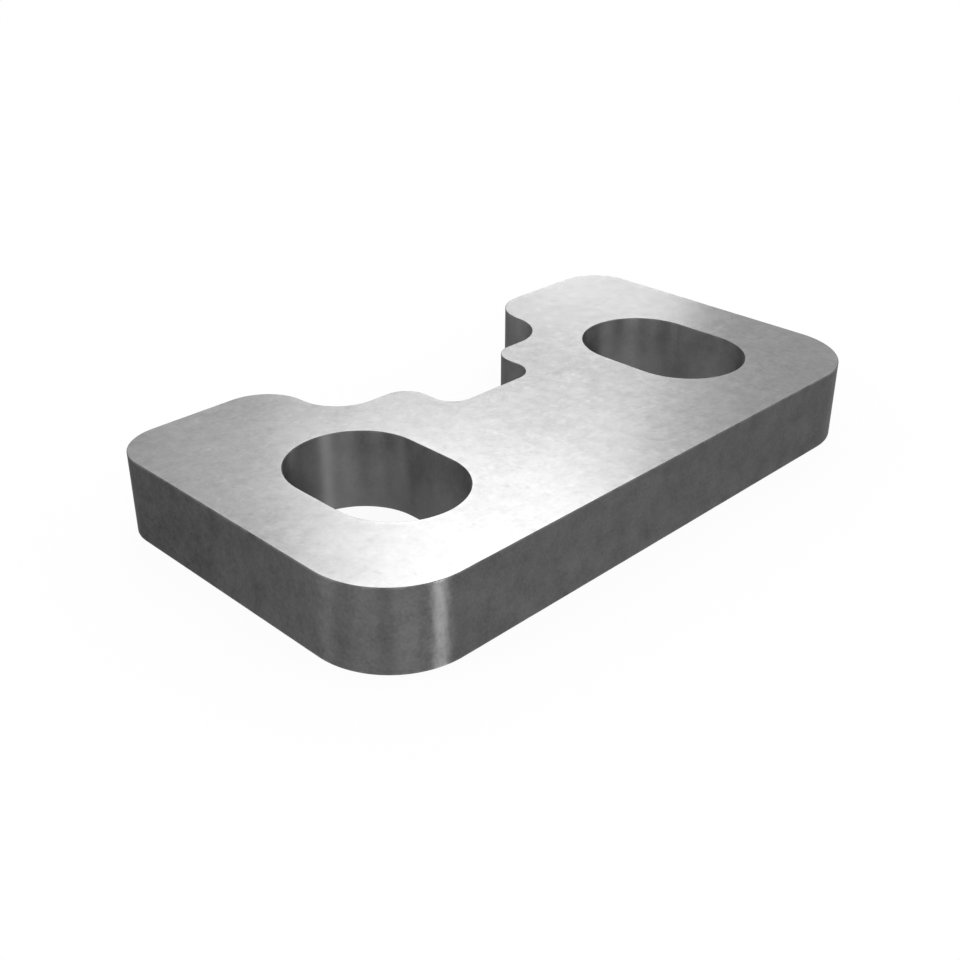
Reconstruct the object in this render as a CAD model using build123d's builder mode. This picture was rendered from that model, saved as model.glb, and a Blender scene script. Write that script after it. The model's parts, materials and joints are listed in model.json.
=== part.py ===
from build123d import *
import os

os.makedirs("parts", exist_ok=True)

# A flat steel wear strip that lies on its seating face, with its front edge towards -Y.
# The origin is the middle of the footprint, on the seating face. Millimetres throughout.

# Plate
thickness = 15.0
front_corner_r = 15.0
back_corner_r = 9.0
edge_break = 0.3

# Two bolt slots that run front to back, with M20 screws in mind
slot_pitch = 75.0
slot_width = 24.0
slot_length = 34.0

# Metal left around the slots
end_land = 13.5
front_land = 13.75
back_land = 22.75

# Stepped notch in the back edge. From the edge inwards, each side is a chain of tangent
# arcs and short straights: round the mouth, round into the ledge with no straight between
# the two, along the ledge, round into the neck, down its wall and round into its floor.
step_mouth_r = 9.0
step_root_r = 9.0
ledge_flat = 3.5
neck_mouth_r = 5.0
neck_wall = 2.5
neck_root_r = 4.5
neck_width = 22.0

# Overall sizes that follow
plate_length = slot_pitch + slot_width + 2 * end_land
plate_width = front_land + slot_length + back_land
step_width = neck_width + 2 * (neck_mouth_r + ledge_flat + step_root_r)
step_depth = step_mouth_r + step_root_r
neck_depth = neck_mouth_r + neck_wall + neck_root_r

# Lines of the plan view, on the right-hand half
end_x = plate_length / 2
mouth_x = step_width / 2 + step_mouth_r
neck_x = neck_width / 2
front_y = -plate_width / 2
back_y = plate_width / 2
ledge_y = back_y - step_depth
floor_y = ledge_y - neck_depth
slot_y = front_y + front_land + slot_length / 2

with BuildPart() as wear_strip:
    with BuildSketch() as plan:
        with BuildLine():
            # Half the outline, anticlockwise from the middle of the front edge
            front = Line((0, front_y), (end_x - front_corner_r, front_y))
            front_corner = JernArc(front @ 1, front % 1, front_corner_r, 90)
            end = Line(front_corner @ 1, (end_x, back_y - back_corner_r))
            back_corner = JernArc(end @ 1, end % 1, back_corner_r, 90)
            back = Line(back_corner @ 1, (mouth_x, back_y))
            step_mouth = JernArc(back @ 1, back % 1, step_mouth_r, 90)
            step_root = JernArc(step_mouth @ 1, step_mouth % 1, step_root_r, -90)
            ledge = Line(step_root @ 1, (neck_x + neck_mouth_r, ledge_y))
            neck_mouth = JernArc(ledge @ 1, ledge % 1, neck_mouth_r, 90)
            neck_side = Line(neck_mouth @ 1, (neck_x, floor_y + neck_root_r))
            neck_root = JernArc(neck_side @ 1, neck_side % 1, neck_root_r, -90)
            Line(neck_root @ 1, (0, floor_y))
            mirror(about=Plane.YZ)
        make_face()
        with Locations((0, slot_y)):
            with GridLocations(slot_pitch, 0, 2, 1):
                SlotOverall(slot_length, slot_width, rotation=90, mode=Mode.SUBTRACT)
    extrude(amount=thickness)

    # Every edge of both faces is broken, inside the slots and the notch as well
    both_faces = wear_strip.faces().filter_by(Axis.Z)
    chamfer(both_faces.edges(), length=edge_break)

wear_strip.part.label = "wear_strip"
export_step(wear_strip.part, "parts/wear_strip.step")
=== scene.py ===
"""Slotted wear strip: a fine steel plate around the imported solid, with its finish, stage and camera."""

import json
import math

import bpy
import numpy as np
from bpy.props import FloatProperty, FloatVectorProperty, IntProperty, PointerProperty
from bpy.types import Operator, Panel, PropertyGroup
from mathutils import Matrix, Vector
from mathutils.geometry import delaunay_2d_cdt


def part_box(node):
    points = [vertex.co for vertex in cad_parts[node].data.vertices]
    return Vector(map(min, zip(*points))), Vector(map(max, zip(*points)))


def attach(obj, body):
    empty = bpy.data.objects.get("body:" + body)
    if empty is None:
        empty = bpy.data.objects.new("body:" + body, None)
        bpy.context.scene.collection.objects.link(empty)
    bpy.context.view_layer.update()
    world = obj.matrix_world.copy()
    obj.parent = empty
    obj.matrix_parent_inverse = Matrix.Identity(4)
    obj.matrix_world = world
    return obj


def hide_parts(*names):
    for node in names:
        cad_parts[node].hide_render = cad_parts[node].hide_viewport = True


bl_info = {
    "name": "Slotted wear strip",
    "version": (1, 0, 0),
    "blender": (4, 5, 0),
    "location": "3D View > Sidebar > Wear strip",
    "description": "Builds a slotted and notched steel wear strip, its finish and its studio",
    "category": "Add Mesh",
}

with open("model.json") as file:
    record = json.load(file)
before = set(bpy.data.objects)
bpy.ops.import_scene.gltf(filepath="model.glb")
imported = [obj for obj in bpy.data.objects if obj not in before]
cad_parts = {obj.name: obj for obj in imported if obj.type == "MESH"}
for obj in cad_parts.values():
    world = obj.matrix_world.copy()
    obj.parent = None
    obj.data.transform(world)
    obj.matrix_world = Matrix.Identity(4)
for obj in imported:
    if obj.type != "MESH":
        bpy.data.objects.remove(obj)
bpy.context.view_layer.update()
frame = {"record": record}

NODE = "wear_strip"
PIECE = "wear_strip_body"
MM = 0.001

# Softboxes that stand round the plate: distance in metres, then compass angle, width, lowest and
# highest elevation, all in degrees as the plate sees them, and radiance. Where two of them overlap,
# their distances differ, because only one of two lamps in the same plane is seen in a reflection.
SOFTBOXES = {
    "back_softbox": (2.0, 46.0, 20.0, 25.0, 47.0, 1.30),
    "wide_back_softbox": (2.3, 47.0, 31.0, 25.0, 35.0, 0.50),
    "key_softbox": (1.7, 44.4, 14.8, 30.0, 40.0, 1.65),
    "low_back_softbox": (2.0, 39.1, 10.2, 17.0, 21.0, 3.80),
    "back_edge_softbox": (2.4, 47.5, 7.0, 22.0, 26.0, 0.90),
    "left_back_softbox": (2.0, 100.0, 24.0, 10.0, 44.0, 0.3),
    "left_softbox": (2.0, 153.0, 14.0, 1.0, 40.0, 2.4),
    "left_front_softbox": (2.0, -162.0, 26.0, 1.0, 40.0, 1.7),
    "front_softbox": (2.0, -118.0, 28.0, 1.0, 40.0, 2.1),
    "right_front_softbox": (2.0, -50.0, 16.0, 10.0, 42.0, 1.1),
    "right_softbox": (2.0, -14.0, 20.0, 1.0, 38.0, 1.3),
}

# A small lamp in front, in the same numbers but for its radiance. It draws the upright band on a front
# corner. All of it stands lower than the plate's upper face, which doesn't see it.
LOW_STRIP = (0.3313, -92.7, 11.0, 0.1, 2.45)

# The lamp above the plate: its height, length and width in metres, and its radiance.
OVERHEAD = (2.0, 0.7, 0.5, 1.5)

# The painted highlight at the back of each slot, a light streak painted into the wall's colour where a
# reflected upright band would be: the compass angle that the wall faces there, and the strength and the
# spread in degrees, on the outline, in the left slot and in the right slot.
PAINTED_HIGHLIGHT_FACING = -104.0
PAINTED_HIGHLIGHTS = ((0.0, 8.0), (1.25, 6.5), (0.7, 9.0))

# Painted light and shade on the cut edges, all against the outer walls: how much lighter the slots' walls
# are painted at the foot and at the top, as painted light where the slots' depth shades them, how much
# lighter the notch's walls are painted at most, as painted light, and how much darker the left end is
# painted at most, as painted shade.
SLOT_FOOT_PAINTED_LIGHT = 2.5
SLOT_TOP_PAINTED_LIGHT = 0.6
NOTCH_PAINTED_LIGHT = 0.9
LEFT_END_PAINTED_SHADE = 0.6

# Where those changes on the outline start and where they are whole, in millimetres: away from the
# middle for the notch, and along X and along Y for the left end.
NOTCH_RAMP = (37.0, 28.0)
LEFT_END_RAMP_X = (-50.0, -62.0)
LEFT_END_RAMP_Y = (-25.0, 10.0)

# Insets of the rows of points on both faces, beside each edge.
BORDER = np.array([3.0, 1.7, 0.9]) * MM

# Depth of the steel's relief at full strength.
RELIEF = 0.4 * MM

WHITE = (1.0, 1.0, 1.0, 1.0)

lowest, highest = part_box(NODE)
mounts = {mount["name"]: mount for mount in frame["record"]["mounts"]}
left_slot = mounts["left_slot"]
right_slot = mounts["right_slot"]


def length_property(name, description, default, **limits):
    """A length in metres, shown in the scene's units."""
    return FloatProperty(
        name=name,
        description=description,
        default=default,
        min=0.0,
        precision=5,
        subtype="DISTANCE",
        unit="LENGTH",
        **limits,
    )


def tone_property(name, description, grey):
    """A colour, as linear red, green and blue, that is grey until it is changed."""
    return FloatVectorProperty(
        name=name,
        description=description,
        default=(grey, grey, grey),
        size=3,
        min=0.0,
        max=1.0,
        subtype="COLOR",
    )


def share_property(name, description, default, most=1.0):
    """A plain number from 0 to most."""
    return FloatProperty(
        name=name,
        description=description,
        default=default,
        min=0.0,
        max=most,
        subtype="FACTOR",
    )


class PlateShape(PropertyGroup):
    """Sizes of the plate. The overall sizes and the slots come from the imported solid."""

    length: length_property("Length", "End to end, along X", highest.x - lowest.x)
    width: length_property("Width", "Front edge to back edge, along Y", highest.y - lowest.y)
    thickness: length_property("Thickness", "Seating face to upper face", highest.z - lowest.z)
    front_corner: length_property("Front corners", "Radius of the front corners", 15.0 * MM)
    back_corner: length_property("Back corners", "Radius of the back corners", 9.0 * MM)
    step_mouth: length_property("Step mouth", "Radius that rounds the notch's mouth", 9.0 * MM)
    step_root: length_property("Step root", "Radius that runs into the ledge", 9.0 * MM)
    ledge_flat: length_property("Ledge", "Straight part of the ledge on each side", 3.5 * MM)
    neck_mouth: length_property("Neck mouth", "Radius that rounds the neck's mouth", 5.0 * MM)
    neck_wall: length_property("Neck wall", "Straight part of the neck's side", 2.5 * MM)
    neck_root: length_property("Neck root", "Radius that runs into the neck's floor", 4.5 * MM)
    neck_width: length_property("Neck width", "Width of the neck between its sides", 22.0 * MM)
    slot_pitch: length_property(
        "Slot pitch", "Distance between the slots", right_slot["pos_m"][0] - left_slot["pos_m"][0]
    )
    slot_radius: length_property(
        "Slot end radius", "Half the width of a slot", right_slot["dims"]["hole_r_mm"] * MM
    )
    slot_length: length_property(
        "Slot length", "End to end, along Y", right_slot["dims"]["slot_length_mm"] * MM
    )
    edge_break: length_property("Edge break", "Mean radius of the broken edges", 0.11 * MM)
    edge_unevenness: share_property("Edge unevenness", "How much the hand-broken edges vary", 0.22)
    sample_step: length_property("Sample step", "Spacing of the points along the outline", 0.5 * MM)
    seed: IntProperty(name="Seed", description="Seed of the edges' unevenness and nicks", default=7, min=0)


class SteelFinish(PropertyGroup):
    """Colours and textures of the steel."""

    face_dark: tone_property("Face, dark", "Dark flecks of the ground faces", 0.215)
    face_light: tone_property("Face, light", "Light flecks of the ground faces", 0.370)
    face_grazing: tone_property("Face at a glance", "Tint of the faces' grazing reflection", 0.65)
    # Painted shade: the cut edges' tones are darker than the faces', standing in for the sides' dark
    # reflections.
    wall_dark: tone_property("Cut edge, dark", "Dark patches of the cut edges", 0.050)
    wall_light: tone_property("Cut edge, light", "Light patches of the cut edges", 0.300)
    wall_grazing: tone_property("Cut edge at a glance", "Tint of the cut edges' grazing reflection", 0.5)
    edge_tone: tone_property("Broken edge", "Bare metal along the broken edges", 0.220)
    # Painted highlight: the tone of the light streak painted at the back of each slot, a painted
    # reflection.
    painted_highlight_tone: tone_property("Streak", "Light streak at the back of each slot", 0.42)
    face_roughness: share_property("Face roughness", "Mean roughness of the ground faces", 0.20)
    wall_roughness: share_property("Cut edge roughness", "Mean roughness of the cut edges", 0.40)
    wall_lay: share_property("Cut edge lay", "How much the cut edges' lines stretch a highlight", 0.96)


class Studio(PropertyGroup):
    """Floor, lamps and camera."""

    floor_tone: tone_property("Floor", "Colour of the floor", 0.78)
    floor_radius: length_property("Floor radius", "Radius of the round floor", 4.0)
    floor_glow: share_property("Floor glow", "Share of plain white in the floor as it is seen", 0.93)
    softbox_level: share_property("Softboxes", "Factor on the radiance of all softboxes", 1.0, 10.0)
    strip_level: share_property("Low strip", "Radiance of the small low lamp in front", 150.0, 1000.0)
    view_azimuth: FloatProperty(
        name="View azimuth",
        description="Compass direction in which the camera looks, from +X towards +Y",
        default=math.radians(44.91),
        subtype="ANGLE",
        unit="ROTATION",
    )
    view_drop: FloatProperty(
        name="View drop",
        description="How far below level the camera looks",
        default=math.radians(28.51),
        subtype="ANGLE",
        unit="ROTATION",
    )
    view_distance: length_property("View distance", "Camera to the point it looks at", 0.23318)
    view_target: FloatVectorProperty(
        name="View target",
        description="Point on the floor that the camera looks at",
        default=(-0.00774, 0.00129, 0.0),
        size=3,
        subtype="TRANSLATION",
        unit="LENGTH",
    )
    lens: FloatProperty(
        name="Focal length",
        description="Focal length on a 36 mm sensor",
        default=47.40,
        min=1.0,
        subtype="DISTANCE_CAMERA",
        unit="CAMERA",
    )
    lens_shift: FloatVectorProperty(
        name="Lens shift",
        description="Shift of the lens to the right and up, as a share of the picture's width",
        default=(-0.00062, 0.00053),
        size=2,
        precision=5,
    )


def trace(start, heading, moves, step):
    """Points, outward normals and path lengths along a chain of straights and tangent arcs.

    A move is (length, turn): the path goes on by that length while its heading turns evenly by that
    angle. A straight turns by 0, and an arc of radius r through the angle a has the length r * a. With
    curvature c = turn / length, the point after a length s is the start plus
    (sin(h + c s) - sin h, cos h - cos(h + c s)) / c. The metal is on the left, so the outward normal
    points to the right of the heading.
    """
    sharpest = math.radians(3.0)
    points, headings, lengths = [], [], []
    here = np.array(start, float)
    gone = 0.0
    for length, turn in moves:
        count = max(2, math.ceil(length / step), math.ceil(abs(turn) / sharpest))
        s = np.linspace(0.0, length, count, endpoint=False)
        cos, sin = math.cos(heading), math.sin(heading)
        if turn:
            bend = turn / length
            angle = heading + bend * s
            end = heading + turn
            along = np.c_[np.sin(angle) - sin, cos - np.cos(angle)] / bend
            whole = np.array([math.sin(end) - sin, cos - math.cos(end)]) / bend
        else:
            angle = np.full(count, heading)
            along = np.outer(s, [cos, sin])
            whole = length * np.array([cos, sin])
        points.append(here + along)
        headings.append(angle)
        lengths.append(gone + s)
        here, heading, gone = here + whole, heading + turn, gone + length
    angle = np.concatenate(headings)
    normals = np.c_[np.sin(angle), -np.cos(angle)]
    return np.concatenate(points), normals, np.concatenate(lengths), gone


def outer_moves(shape):
    """Half the outline, from the middle of the front edge to the middle of the notch's floor."""
    quarter = math.pi / 2
    step_half = shape.neck_width / 2 + shape.neck_mouth + shape.ledge_flat + shape.step_root
    mouth_half = step_half + shape.step_mouth
    return [
        (shape.length / 2 - shape.front_corner, 0.0),
        (shape.front_corner * quarter, quarter),
        (shape.width - shape.front_corner - shape.back_corner, 0.0),
        (shape.back_corner * quarter, quarter),
        (shape.length / 2 - shape.back_corner - mouth_half, 0.0),
        (shape.step_mouth * quarter, quarter),
        (shape.step_root * quarter, -quarter),
        (shape.ledge_flat, 0.0),
        (shape.neck_mouth * quarter, quarter),
        (shape.neck_wall, 0.0),
        (shape.neck_root * quarter, -quarter),
        (shape.neck_width / 2 - shape.neck_root, 0.0),
    ]


def slot_moves(shape):
    """A slot's outline, clockwise, so that the metal is on its left, from the back of its left side."""
    side = shape.slot_length - 2 * shape.slot_radius
    end = (shape.slot_radius * math.pi, -math.pi)
    return [end, (side, 0.0), end, (side, 0.0)]


def loops_of(shape):
    """The three closed paths of the plan view: the outline and both slots."""
    half = outer_moves(shape)
    outline = trace((0.0, -shape.width / 2), 0.0, half + half[::-1], shape.sample_step)
    straight = shape.slot_length - 2 * shape.slot_radius
    middle = right_slot["pos_m"][1]
    slots = [
        trace(
            (side * shape.slot_pitch / 2 - shape.slot_radius, middle + straight / 2),
            math.pi / 2,
            slot_moves(shape),
            shape.sample_step,
        )
        for side in (-1, 1)
    ]
    return [outline, *slots]


def uneven(s, total, rng, shape):
    """Radius of the edge break along a closed path: its mean, waves that fit the path, and small nicks.

    The waves are sin(2 pi k s / total + phase) for whole numbers k, weighted by 1 / sqrt(k). A nick is a
    bell curve, about half a millimetre wide, at a random place.
    """
    draws = 14
    fewest = 2
    most = max(4, int(total / (4 * MM)))
    nick_spacing = 90 * MM
    waves = np.zeros_like(s)
    orders = np.unique(rng.integers(fewest, most, draws))
    for order in orders:
        waves += np.sin(2 * math.pi * order * s / total + rng.uniform(0, 2 * math.pi)) / math.sqrt(order)
    waves /= np.abs(waves).max()
    nicks = np.zeros_like(s)
    for _ in range(max(1, round(total / nick_spacing))):
        apart = (s - rng.uniform(0, total) + total / 2) % total - total / 2
        depth = rng.uniform(0.2, 0.5)
        spread = rng.uniform(0.35, 0.7) * MM
        nicks += depth * np.exp(-((apart / spread) ** 2))
    return shape.edge_break * (1 + shape.edge_unevenness * waves + nicks)


def wall_rows(radius_low, radius_high, thickness):
    """The profile carried along each path, from the seating face's border up to the upper face's border.

    Each row is (inset, height, rim) for every point of the path. Each broken edge is a quarter circle of
    the local radius r: inset r (1 - sin a), height r (1 - cos a), for a from 0 to a right angle. rim is 1
    on the broken edges and falls off over the face and the wall beside them.
    """
    wall = np.array([0.75, 1.4, 2.4, 4.0]) * MM
    corner = np.linspace(0.0, math.pi / 2, 6)
    beside = 0.04 * MM
    reach = 3.0 * MM

    def fade(away):
        return max(0.0, 1.0 - away / reach) ** 2

    def edge(radius, flip):
        side = [(inset + 0 * radius, 0 * radius, fade(inset)) for inset in BORDER]
        side += [(radius + beside, 0 * radius, 1.0)]
        side += [(radius * (1 - math.sin(a)), radius * (1 - math.cos(a)), 1.0) for a in corner]
        side += [(0 * radius, radius + beside, 1.0)]
        side += [(0 * radius, height + 0 * radius, fade(height)) for height in wall]
        return [(i, thickness - z, rim) for i, z, rim in side[::-1]] if flip else side

    middle = (0 * radius_low, thickness / 2 + 0 * radius_low, 0.0)
    rows = [*edge(radius_low, False), middle, *edge(radius_high, True)]
    inset = np.array([r[0] for r in rows])
    height = np.array([r[1] for r in rows])
    rim = np.array([np.full(len(radius_low), r[2]) for r in rows])
    return inset, height, rim


def ramp(value, start, end):
    """0 before start, 1 past end, and an even slope from one to the other."""
    return np.clip((value - start) / (end - start), 0.0, 1.0)


def wall_marks(loop, points, normals, height):
    """The marks of painted light and shade and of the painted highlight along a path. height is each
    vertex's share of the thickness.

    loop is 0 on the outline, 1 in the left slot and 2 in the right slot. The mark of painted light and
    shade is how much lighter the cut edge is painted: painted light that falls evenly from the foot to
    the top of a slot's wall, where the slot's depth shades it, and on the outline it is 0, more in the
    notch as painted light and less towards the back of the left end as painted shade. The painted
    highlight is an upright bell curve at the back of each slot, a painted reflection.
    """
    if loop:
        # Painted light: the slots' walls are painted lighter, most at the foot, where the slots' depth
        # shades them.
        bore = SLOT_FOOT_PAINTED_LIGHT - (SLOT_FOOT_PAINTED_LIGHT - SLOT_TOP_PAINTED_LIGHT) * height
    else:
        x, y = points.T / MM
        # Painted light in the notch, and painted shade towards the back of the left end.
        notch = np.minimum(ramp(np.abs(x), *NOTCH_RAMP), NOTCH_PAINTED_LIGHT) * (y > 0.0)
        left_end = ramp(x, *LEFT_END_RAMP_X) * ramp(y, *LEFT_END_RAMP_Y)
        bore = notch - LEFT_END_PAINTED_SHADE * left_end
    # Painted highlight: an upright light streak at the back of each slot, painted where a reflected band
    # would be.
    facing = np.degrees(np.arctan2(normals[:, 1], normals[:, 0]))
    strength, spread = PAINTED_HIGHLIGHTS[loop]
    streak = strength * np.exp(-(((facing - PAINTED_HIGHLIGHT_FACING) / spread) ** 2))
    return bore, streak


def plate_surface(shape):
    """Vertices, faces, each face's material and each vertex's marks, for the whole plate.

    The mark rim is 1 on the broken edges and fades away from them. wall_marks makes the others. Around
    each path P(s) with outward normal N(s) the surface is P(s) - inset(t) N(s) at height z(t), a grid in
    s and t. The two flat faces inside their borders are filled by a triangulation of the borders' rings,
    the same one above and below.
    """
    rng = np.random.default_rng(shape.seed)
    vertices, quads, quad_slots, rings = [], [], [], []
    marks = {"rim": [], "bore": [], "streak": []}
    face_strips = len(BORDER) + 1
    offset = 0
    for loop, (points, normals, s, total) in enumerate(loops_of(shape)):
        low = uneven(s, total, rng, shape)
        high = uneven(s, total, rng, shape)
        inset, height, rim = wall_rows(low, high, shape.thickness)
        plan = points[None] - inset[..., None] * normals[None]
        vertices.append(np.concatenate([plan, height[..., None]], axis=2).reshape(-1, 3))
        bore, streak = wall_marks(loop, points, normals, height / shape.thickness)
        for name, values in (("rim", rim), ("bore", bore), ("streak", streak)):
            marks[name].append(np.broadcast_to(values, rim.shape).reshape(-1))
        rows, columns = height.shape
        index = offset + np.arange(rows * columns).reshape(rows, columns)
        ahead = np.roll(index, -1, axis=1)
        grid = np.stack([index[:-1], ahead[:-1], ahead[1:], index[1:]], axis=-1)
        quads.append(grid.reshape(-1, 4))
        on_face = np.zeros(rows - 1, bool)
        on_face[:face_strips] = True
        on_face[-face_strips:] = True
        quad_slots.append(np.repeat(np.where(on_face, 0, 1), columns))
        rings.append((index[0], index[-1], plan[-1]))
        offset += rows * columns
    ring_low = np.concatenate([ring[0] for ring in rings])
    ring_high = np.concatenate([ring[1] for ring in rings])
    flat = np.concatenate([ring[2] for ring in rings])
    triangles = fill(flat, [len(ring[0]) for ring in rings])
    upper = ring_high[triangles].tolist()
    lower = ring_low[triangles[:, ::-1]].tolist()
    faces = [*np.concatenate(quads).tolist(), *upper, *lower]
    slots = np.concatenate([*quad_slots, np.zeros(2 * len(triangles), int)])
    joined = {name: np.concatenate(values) for name, values in marks.items()}
    return np.concatenate(vertices), faces, slots, joined


def fill(flat, counts):
    """Triangles, anticlockwise, of the region inside the first ring and outside the others.

    The whole convex hull is triangulated with the rings' edges kept. A triangle stays where a ray from
    its middle along X crosses the rings an odd number of times.
    """
    edges = []
    start = 0
    for count in counts:
        ring = np.arange(start, start + count)
        edges.append(np.c_[ring, np.roll(ring, -1)])
        start += count
    edges = np.concatenate(edges)
    places = [Vector(point) for point in flat / MM]
    whole_hull, closest = 0, 1e-6
    found = delaunay_2d_cdt(places, edges.tolist(), [], whole_hull, closest)
    source = np.array([origin[0] for origin in found[3]])
    triangles = source[np.array(found[2])]
    x, y = flat[triangles].mean(axis=1).T[:, :, None]
    from_x, from_y = flat[edges[:, 0]].T[:, None, :]
    to_x, to_y = flat[edges[:, 1]].T[:, None, :]
    spans = (from_y > y) != (to_y > y)
    share = (y - from_y) / np.where(to_y == from_y, 1.0, to_y - from_y)
    crossings = (spans & (x < from_x + share * (to_x - from_x))).sum(axis=1)
    triangles = triangles[crossings % 2 == 1]
    a, b, c = flat[triangles[:, 0]], flat[triangles[:, 1]], flat[triangles[:, 2]]
    turn = (b[:, 0] - a[:, 0]) * (c[:, 1] - a[:, 1]) - (b[:, 1] - a[:, 1]) * (c[:, 0] - a[:, 0])
    triangles[turn < 0] = triangles[turn < 0][:, ::-1]
    return triangles


def new_object(name, vertices, faces):
    """A mesh object at the origin with smooth faces."""
    mesh = bpy.data.meshes.new(name)
    mesh.from_pydata(vertices.tolist(), [], faces)
    mesh.polygons.foreach_set("use_smooth", np.ones(len(mesh.polygons), bool))
    mesh.update()
    made = bpy.data.objects.new(name, mesh)
    bpy.context.scene.collection.objects.link(made)
    return made


class Wire:
    """An output socket that takes part in Python expressions. Each operation adds a Math node."""

    def __init__(self, shader, socket):
        self.shader = shader
        self.socket = socket

    def math(self, operation, *values):
        """A Math node on these values."""
        return self.shader.node("ShaderNodeMath", {"operation": operation}, dict(enumerate(values)))

    def __add__(self, other):
        return self.math("ADD", self, other)

    def __radd__(self, other):
        return self.math("ADD", other, self)

    def __sub__(self, other):
        return self.math("SUBTRACT", self, other)

    def __rsub__(self, other):
        return self.math("SUBTRACT", other, self)

    def __mul__(self, other):
        return self.math("MULTIPLY", self, other)

    def __rmul__(self, other):
        return self.math("MULTIPLY", other, self)

    def sway(self, weight):
        """How far the value is from its middle, 0.5, times a weight."""
        return weight * (self - 0.5)

    def clamp(self):
        """The value, kept from 0 to 1."""
        return self.shader.node("ShaderNodeClamp", {}, {"Value": self})

    def between(self, low, high):
        """0 at low, 1 at high, and a smooth step from one to the other."""
        sockets = {"Value": self, "From Min": low, "From Max": high}
        return self.shader.node("ShaderNodeMapRange", {"interpolation_type": "SMOOTHSTEP"}, sockets)


class Shader:
    """The node tree of a material or of the world, emptied, with one way to add a node."""

    def __init__(self, owner):
        owner.use_nodes = True
        self.owner = owner
        self.tree = owner.node_tree
        self.tree.nodes.clear()

    def node(self, kind, settings, sockets, output=None):
        """Adds a node, sets its settings, then its sockets, and returns its first or its named output."""
        node = self.tree.nodes.new(kind)
        for name, value in settings.items():
            setattr(node, name, value)
        for name, value in sockets.items():
            if isinstance(name, int):
                socket = node.inputs[name]
            else:
                socket = next(s for s in node.inputs if s.name == name and s.enabled)
            if isinstance(value, Wire):
                self.tree.links.new(value.socket, socket)
            else:
                socket.default_value = value
        outputs = [s for s in node.outputs if s.enabled and output in (None, s.name)]
        return Wire(self, outputs[0]) if outputs else None

    def place(self):
        """Object coordinates, in metres."""
        return self.node("ShaderNodeTexCoord", {}, {}, output="Object")

    def mark(self, name):
        """One of the marks that plate_surface gives to each vertex."""
        return self.node("ShaderNodeAttribute", {"attribute_name": name}, {}, output="Fac")

    def tones(self, share, first, second):
        """A colour from first, where share is 0, to second, where it is 1."""
        a, b = (tone if isinstance(tone, Wire) else (*tone, 1.0) for tone in (first, second))
        return self.node("ShaderNodeMix", {"data_type": "RGBA"}, {"Factor": share, "A": a, "B": b})

    def noise(self, place, size, stretch=(1.0, 1.0, 1.0), detail=3.0, roughness=0.5):
        """Noise around 0.5, with features about as large as size in metres, and longer by stretch."""
        scale = tuple(1.0 / (size * s) for s in stretch)
        scaled = self.node("ShaderNodeMapping", {}, {"Vector": place, "Scale": scale})
        sockets = {"Vector": scaled, "Scale": 1.0, "Detail": detail, "Roughness": roughness}
        return self.node("ShaderNodeTexNoise", {}, sockets)

    def surface(self, result):
        """Makes the result the material's surface."""
        self.node("ShaderNodeOutputMaterial", {}, {"Surface": result})
        return self.owner

    def steel(self, colour, grazing, rough, relief, strength, lay=0.0):
        """Bare metal. lay stretches its highlights from face to face of the plate."""
        quarter_turn = 0.25
        bump = {"Strength": strength, "Distance": RELIEF, "Height": relief}
        sockets = {
            "Base Color": colour,
            "Metallic": 1.0,
            "Roughness": rough,
            "Specular Tint": (*grazing, 1.0),
            "Anisotropic": lay,
            "Anisotropic Rotation": quarter_turn,
            "Normal": self.node("ShaderNodeBump", {}, bump),
        }
        return self.surface(self.node("ShaderNodeBsdfPrincipled", {}, sockets))


def face_material(finish):
    """Ground plate: clouds, blotches, fine grain, faint lines along X, and light and dark smudges.

    Everything adds up to one number, which picks a tone between the dark and the light one. The same
    patterns, at other strengths, give the roughness and the relief.
    """
    s = Shader(bpy.data.materials.new("ground_face"))
    place = s.place()
    clouds = s.noise(place, 14.0 * MM, detail=2.0)
    blotches = s.noise(place, 2.6 * MM, detail=3.0, roughness=0.62)
    grain = s.noise(place, 0.7 * MM, detail=1.5)
    lines = s.noise(place, 0.30 * MM, stretch=(60.0, 1.0, 1.0), detail=1.0)
    smudges = s.noise(place, 1.7 * MM, stretch=(1.0, 1.4, 1.0), detail=2.0)
    light_smudges = smudges.between(0.60, 0.76)
    dark_smudges = smudges.between(0.40, 0.24)
    tone = 0.5 + clouds.sway(0.4) + blotches.sway(0.65) + grain.sway(0.50) + lines.sway(0.12)
    tone = (tone + 0.15 * light_smudges - 0.16 * dark_smudges).clamp()
    colour = s.tones(tone, finish.face_dark, finish.face_light)
    rim = s.mark("rim")
    worn = rim * rim * blotches.between(0.35, 0.65)
    colour = s.tones(0.35 * worn, colour, finish.face_light)
    rough = finish.face_roughness + blotches.sway(0.05) + grain.sway(0.05) - 0.03 * worn
    relief = smudges + 0.02 * lines
    return s.steel(colour, finish.face_grazing, rough, relief, strength=0.008)


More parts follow.
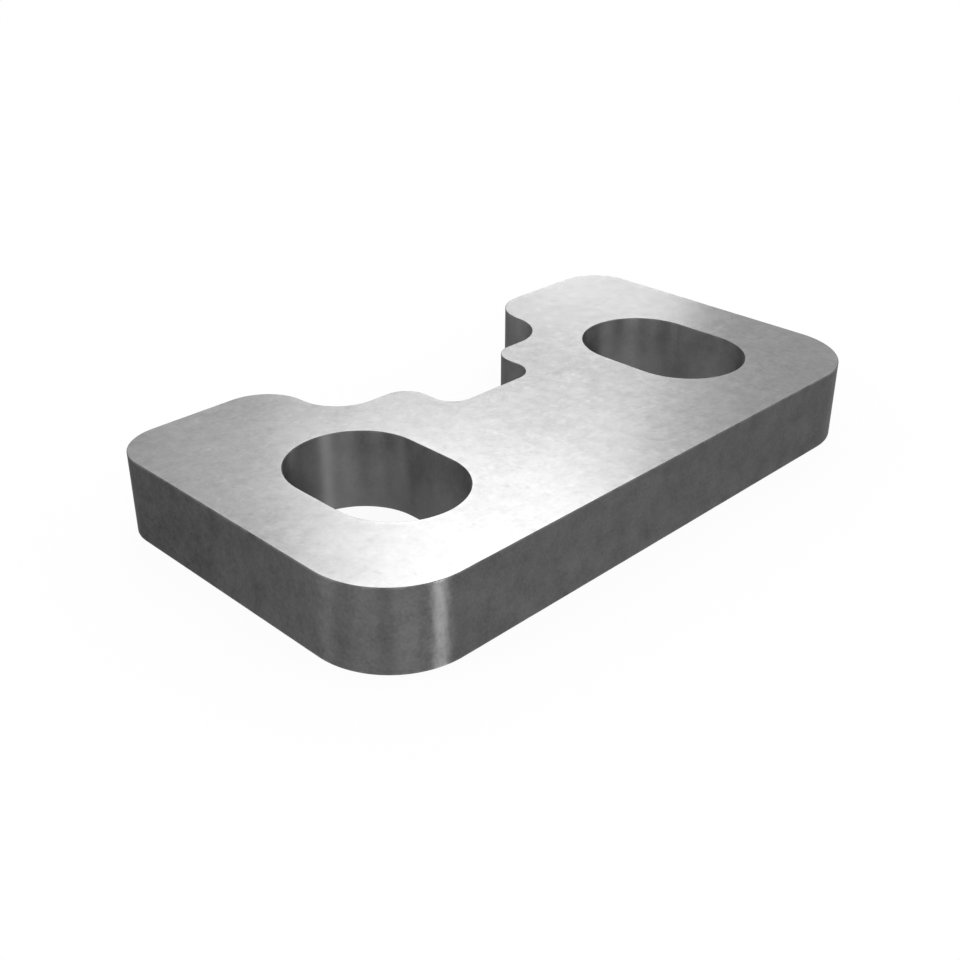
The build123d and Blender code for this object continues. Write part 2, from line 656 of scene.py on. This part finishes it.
def wall_material(finish):
    """Cut edge: darker metal with soft patches, fine grain and faint lines that run from face to face.

    It is painted lighter where its mark of painted light and shade is above 0, as painted light in the
    slots and the notch, and painted darker where it is below 0, as painted shade at the left end. It is
    lightest along the streak at the back of each slot, a painted highlight. Its highlights stretch along
    the lines, so that a lamp shows as a narrow upright band wherever the edge is rounded.
    """
    s = Shader(bpy.data.materials.new("cut_edge"))
    place = s.place()
    patches = s.noise(place, 3.4 * MM, detail=5.0, roughness=0.62)
    lines = s.noise(place, 1.3 * MM, stretch=(1.0, 1.0, 14.0), detail=3.0, roughness=0.6)
    waver = s.noise(place, 1.8 * MM, stretch=(1.0, 1.0, 1.3), detail=1.5)
    grain = s.noise(place, 0.55 * MM, detail=2.0)
    clouds = s.noise(place, 7.0 * MM, stretch=(1.0, 1.0, 1.3), detail=2.0)
    bore = s.mark("bore")
    inside = bore.clamp()
    # Painted light and shade: the tone rises with the mark above 0 and falls where it is below 0.
    tone = 0.25 + 0.19 * bore + patches.sway(0.37 + 0.23 * inside) + lines.sway(0.03)
    tone = tone + grain.sway(0.25) + clouds.sway(0.08 + 0.46 * inside)
    colour = s.tones(tone.clamp(), finish.wall_dark, finish.wall_light)
    # Painted highlight: the streak at the back of each slot is a painted reflection in the wall's colour.
    streak = s.mark("streak") * (0.55 + patches.sway(0.8))
    colour = s.tones(streak, colour, finish.painted_highlight_tone)
    bare = s.mark("rim").between(0.80, 1.0) * patches.between(0.3, 0.6)
    colour = s.tones(0.4 * bare, colour, finish.edge_tone)
    rough = finish.wall_roughness + 0.19 * inside + patches.sway(0.30) + grain.sway(0.10) - 0.06 * bare
    relief = waver + 0.05 * lines
    return s.steel(colour, finish.wall_grazing, rough, relief, strength=0.10, lay=finish.wall_lay)


class WEARSTRIP_OT_build_plate(Operator):
    """Builds the plate with its broken edges, slots and notch, and gives it its steel"""

    bl_idname = "wear_strip.build_plate"
    bl_label = "Build the plate"

    def execute(self, context):
        shape = context.scene.wear_strip_shape
        finish = context.scene.wear_strip_finish
        vertices, faces, slots, marks = plate_surface(shape)
        plate = new_object(PIECE, vertices, faces)
        plate.data.materials.append(face_material(finish))
        plate.data.materials.append(wall_material(finish))
        plate.data.polygons.foreach_set("material_index", slots)
        for name, values in marks.items():
            mark = plate.data.attributes.new(name, "FLOAT", "POINT")
            mark.data.foreach_set("value", values.astype(np.float32))
        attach(plate, "root")
        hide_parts(NODE)
        return {"FINISHED"}


def floor_material(studio):
    """Pale floor. As it is seen, most of it is plain white, and the rest keeps the plate's shadow.

    Further out than the shadow reaches, it is all white, so that its edge doesn't show.
    """
    shadow_reach, all_white = 0.25, 0.8
    s = Shader(bpy.data.materials.new("pale_floor"))
    away = s.node("ShaderNodeVectorMath", {"operation": "LENGTH"}, {0: s.place()})
    glow = studio.floor_glow + (1.0 - studio.floor_glow) * away.between(shadow_reach, all_white)
    seen = s.node("ShaderNodeLightPath", {}, {}, output="Is Camera Ray")
    for ray in ("Is Glossy Ray", "Is Transmission Ray"):
        seen = seen.math("MAXIMUM", seen, s.node("ShaderNodeLightPath", {}, {}, output=ray))
    plain = s.node("ShaderNodeBsdfDiffuse", {}, {"Color": (*studio.floor_tone, 1.0)})
    white = s.node("ShaderNodeEmission", {}, {"Color": WHITE, "Strength": 1.0})
    return s.surface(s.node("ShaderNodeMixShader", {}, {0: glow * seen, 1: plain, 2: white}))


def make_floor(studio):
    """A round floor just under the plate: rings of radius r at angle a, at (r cos a, r sin a)."""
    below, sides = 0.02 * MM, 96
    angle = np.linspace(0.0, 2 * math.pi, sides, endpoint=False)
    radius = np.array([0.2, 0.6, 1.5, studio.floor_radius])
    x = np.outer(radius, np.cos(angle))
    y = np.outer(radius, np.sin(angle))
    ring = np.stack([x, y, np.full_like(x, -below)], axis=-1).reshape(-1, 3)
    vertices = np.concatenate([[[0.0, 0.0, -below]], ring])
    index = 1 + np.arange(len(ring)).reshape(x.shape)
    ahead = np.roll(index, -1, axis=1)
    centre = np.c_[np.zeros(len(angle), int), index[0], ahead[0]]
    bands = np.stack([index[:-1], index[1:], ahead[1:], ahead[:-1]], axis=-1).reshape(-1, 4)
    floor = new_object("floor", vertices, [*centre.tolist(), *bands.tolist()])
    floor.data.materials.append(floor_material(studio))


def direction(azimuth, elevation):
    """The unit vector at a compass angle from +X towards +Y and an angle above level, in degrees."""
    a, e = math.radians(azimuth), math.radians(elevation)
    return Vector((math.cos(e) * math.cos(a), math.cos(e) * math.sin(a), math.sin(e)))


def lamp(name, place, towards, width, height, radiance):
    """A soft rectangle of light at a place, facing the other way than towards.

    Its power is its radiance times pi times its area.
    """
    light = bpy.data.lights.new(name, "AREA")
    light.shape = "RECTANGLE"
    light.size = width
    light.size_y = height
    light.energy = radiance * math.pi * width * height
    made = bpy.data.objects.new(name, light)
    bpy.context.scene.collection.objects.link(made)
    made.matrix_world = Matrix.Translation(place) @ towards.to_track_quat("Z", "Y").to_matrix().to_4x4()


def standing_lamp(name, distance, azimuth, spread, low, high, radiance):
    """An upright softbox that faces the plate. Its angles, in degrees, are as the plate sees them."""
    away = direction(azimuth, 0.0)
    bottom, top = (distance * math.tan(math.radians(angle)) for angle in (low, high))
    width = 2 * distance * math.tan(math.radians(spread / 2))
    place = away * distance + Vector((0.0, 0.0, (bottom + top) / 2))
    lamp(name, place, away, width, top - bottom, radiance)


def make_world():
    """White surroundings."""
    world = bpy.data.worlds.new("white_surroundings")
    s = Shader(world)
    sky = s.node("ShaderNodeBackground", {}, {"Color": WHITE, "Strength": 1.0})
    s.node("ShaderNodeOutputWorld", {}, {"Surface": sky})
    bpy.context.scene.world = world


def make_camera(studio):
    """The camera stands back from its target, along its line of sight, and is level."""
    data = bpy.data.cameras.new("camera")
    data.sensor_width = 36.0
    data.lens = studio.lens
    data.shift_x, data.shift_y = studio.lens_shift
    data.clip_start = 0.01
    data.clip_end = 20.0
    camera = bpy.data.objects.new("camera", data)
    bpy.context.scene.collection.objects.link(camera)
    back = -direction(math.degrees(studio.view_azimuth), -math.degrees(studio.view_drop))
    place = Vector(studio.view_target) + back * studio.view_distance
    camera.matrix_world = Matrix.Translation(place) @ back.to_track_quat("Z", "Y").to_matrix().to_4x4()
    bpy.context.scene.camera = camera


class WEARSTRIP_OT_build_stage(Operator):
    """Builds the floor, the surroundings, the lamps and the camera"""

    bl_idname = "wear_strip.build_stage"
    bl_label = "Build the stage"

    def execute(self, context):
        studio = context.scene.wear_strip_studio
        make_floor(studio)
        make_world()
        for name, (*angles, radiance) in SOFTBOXES.items():
            standing_lamp(name, *angles, radiance * studio.softbox_level)
        standing_lamp("low_strip", *LOW_STRIP, studio.strip_level)
        height, length, width, radiance = OVERHEAD
        up = Vector((0.0, 0.0, 1.0))
        lamp("overhead_softbox", height * up, up, length, width, radiance * studio.softbox_level)
        make_camera(studio)
        context.scene.view_settings.view_transform = "Standard"
        return {"FINISHED"}


class WEARSTRIP_PT_sidebar(Panel):
    """Lists the sizes, colours and steps of the wear strip"""

    bl_idname = "WEARSTRIP_PT_sidebar"
    bl_label = "Wear strip"
    bl_space_type = "VIEW_3D"
    bl_region_type = "UI"
    bl_category = "Wear strip"

    def draw(self, context):
        scene = context.scene
        for group, operator in (
            (scene.wear_strip_shape, None),
            (scene.wear_strip_finish, WEARSTRIP_OT_build_plate),
            (scene.wear_strip_studio, WEARSTRIP_OT_build_stage),
        ):
            box = self.layout.box()
            for name in group.__annotations__:
                box.prop(group, name)
            if operator:
                box.operator(operator.bl_idname)


CLASSES = (
    PlateShape,
    SteelFinish,
    Studio,
    WEARSTRIP_OT_build_plate,
    WEARSTRIP_OT_build_stage,
    WEARSTRIP_PT_sidebar,
)


def register():
    for cls in CLASSES:
        bpy.utils.register_class(cls)
    bpy.types.Scene.wear_strip_shape = PointerProperty(type=PlateShape)
    bpy.types.Scene.wear_strip_finish = PointerProperty(type=SteelFinish)
    bpy.types.Scene.wear_strip_studio = PointerProperty(type=Studio)


def unregister():
    del bpy.types.Scene.wear_strip_studio
    del bpy.types.Scene.wear_strip_finish
    del bpy.types.Scene.wear_strip_shape
    for cls in reversed(CLASSES):
        bpy.utils.unregister_class(cls)


def main():
    register()
    bpy.ops.wear_strip.build_plate()
    bpy.ops.wear_strip.build_stage()


if __name__ == "__main__":
    main()
